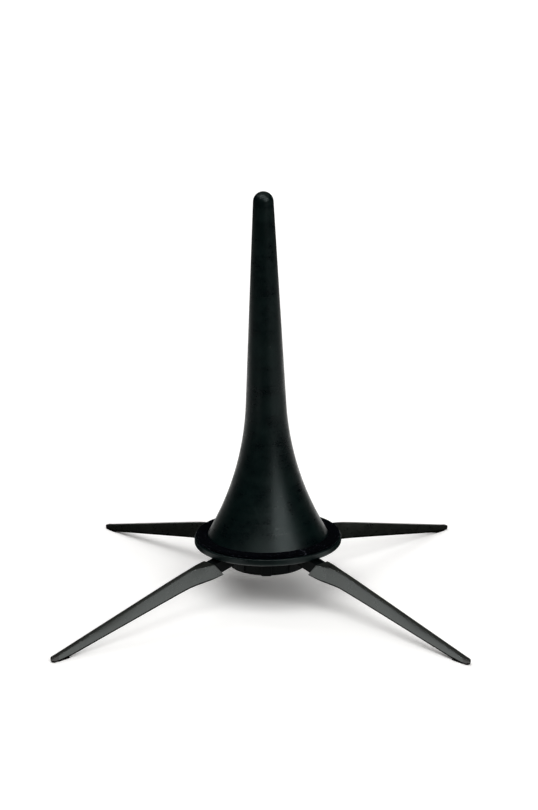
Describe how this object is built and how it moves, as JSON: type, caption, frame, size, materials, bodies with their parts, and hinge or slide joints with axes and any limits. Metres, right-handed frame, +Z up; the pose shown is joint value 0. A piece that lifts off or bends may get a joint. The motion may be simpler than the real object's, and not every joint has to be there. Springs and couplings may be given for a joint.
{
  "type": "trumpet stand",
  "caption": "Free-standing in-bell trumpet stand: hollow flared cone with a felt-covered brim on a hub with plug-in legs that store inside the cone.",
  "frame": {"origin": "on the floor, under the axis of the cone, at the centre of the four feet", "axes": "+Z up along the cone's axis, front towards -Y, +X to the right; the legs point along the diagonals of X and Y"},
  "size_m": [0.2488, 0.2488, 0.263],
  "materials": {
    "cone_plastic": "satin black, finely textured moulding",
    "felt": "blue-black pressed wool felt",
    "hub_plastic": "matte black moulding",
    "screw_steel": "zinc plated",
    "leg_plastic": "matte dark grey, glass-filled nylon",
    "tip_rubber": "soft black rubber"
  },
  "bodies": {
    "base": {"cone_body": "cone_plastic", "felt_ring": "felt", "leg_hub": "hub_plastic", "hub_screws": "screw_steel"},
    "cap": {"storage_cap": "hub_plastic"},
    "leg_front_right": {"leg_front_right": "leg_plastic", "foot_tip_front_right": "tip_rubber"},
    "leg_back_right": {"leg_back_right": "leg_plastic", "foot_tip_back_right": "tip_rubber"},
    "leg_back_left": {"leg_back_left": "leg_plastic", "foot_tip_back_left": "tip_rubber"},
    "leg_front_left": {"leg_front_left": "leg_plastic", "foot_tip_front_left": "tip_rubber"}
  },
  "joints": [
    {"name": "leg_front_right_pull", "type": "slide", "parent": "base", "child": "leg_front_right", "axis": [0.6917, -0.6917, -0.2079], "range_m": [0, 0.024]},
    {"name": "leg_back_right_pull", "type": "slide", "parent": "base", "child": "leg_back_right", "axis": [0.6917, 0.6917, -0.2079], "range_m": [0, 0.024]},
    {"name": "leg_back_left_pull", "type": "slide", "parent": "base", "child": "leg_back_left", "axis": [-0.6917, 0.6917, -0.2079], "range_m": [0, 0.024]},
    {"name": "leg_front_left_pull", "type": "slide", "parent": "base", "child": "leg_front_left", "axis": [-0.6917, -0.6917, -0.2079], "range_m": [0, 0.024]},
    {"name": "cap_pull", "type": "slide", "parent": "base", "child": "cap", "axis": [0, 0, -1], "range_m": [0, 0.012]}
  ]
}
